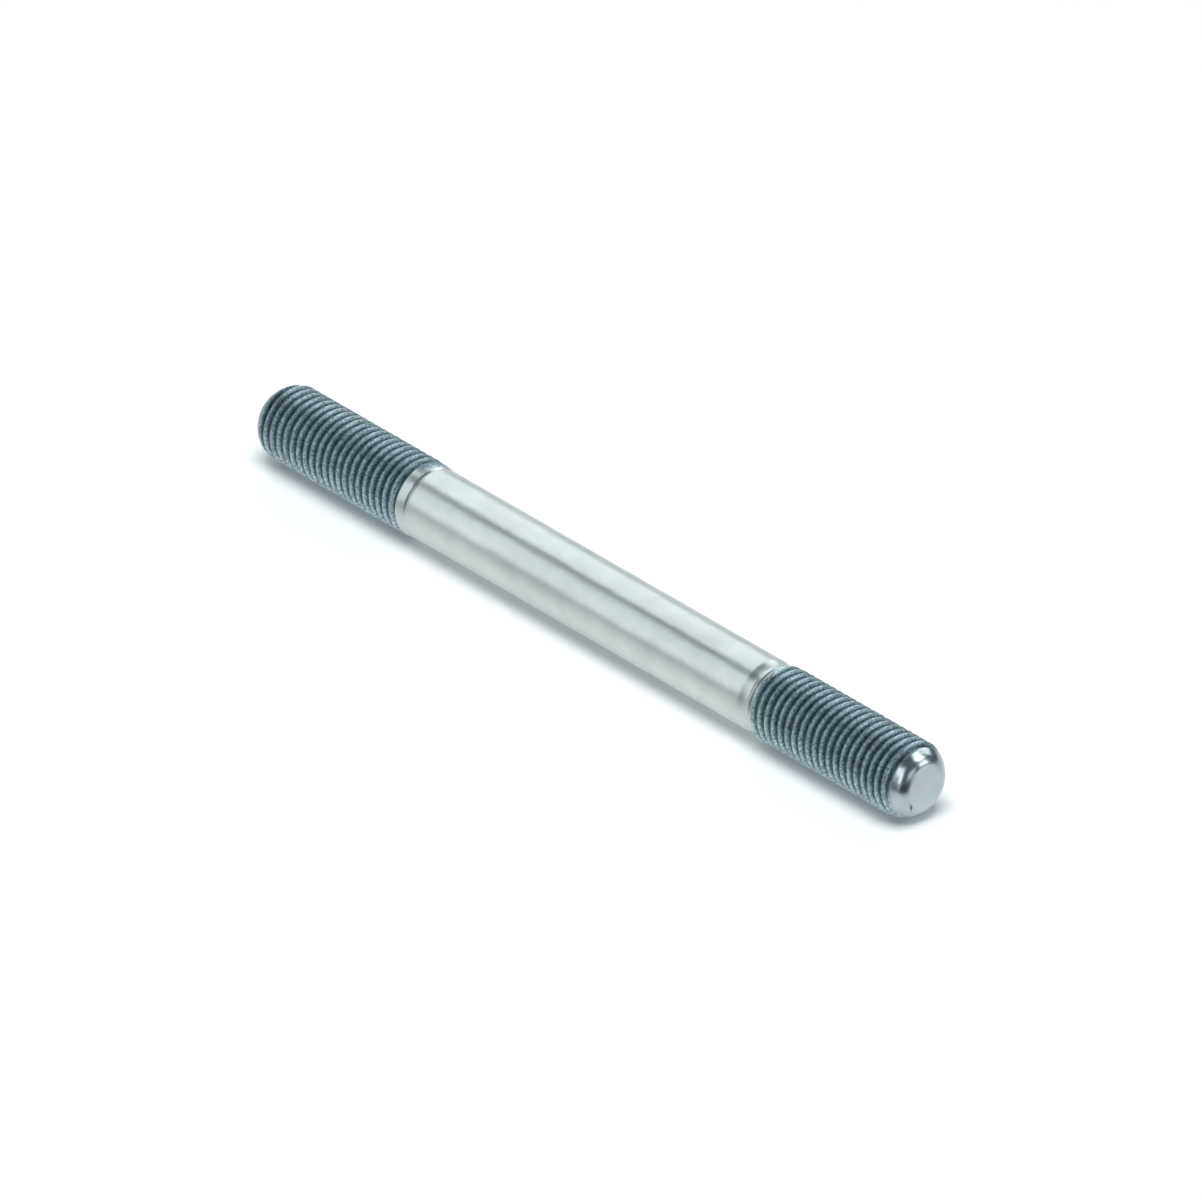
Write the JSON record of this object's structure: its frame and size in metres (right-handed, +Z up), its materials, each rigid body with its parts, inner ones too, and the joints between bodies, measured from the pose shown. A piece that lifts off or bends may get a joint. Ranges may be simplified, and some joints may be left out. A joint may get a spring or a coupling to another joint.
{
  "type": "stud bolt",
  "caption": "Double-ended stud bolt: fine right-hand rolled thread on both ends, plain shank between, rounded points with flat end faces.",
  "frame": {"origin": "on the stud's axis, halfway between the two end faces", "axes": "+X along the stud's axis, towards the end with the short run-out and the conical shoulder, +Z up"},
  "size_m": [0.12, 0.0098, 0.0098],
  "materials": {
    "zinc_plated_steel": "bluish zinc plating, satin on the drawn shank, brighter on the points, duller and grainy on the rolled threads"
  },
  "bodies": {
    "root": {"stud": "zinc_plated_steel"}
  },
  "joints": []
}
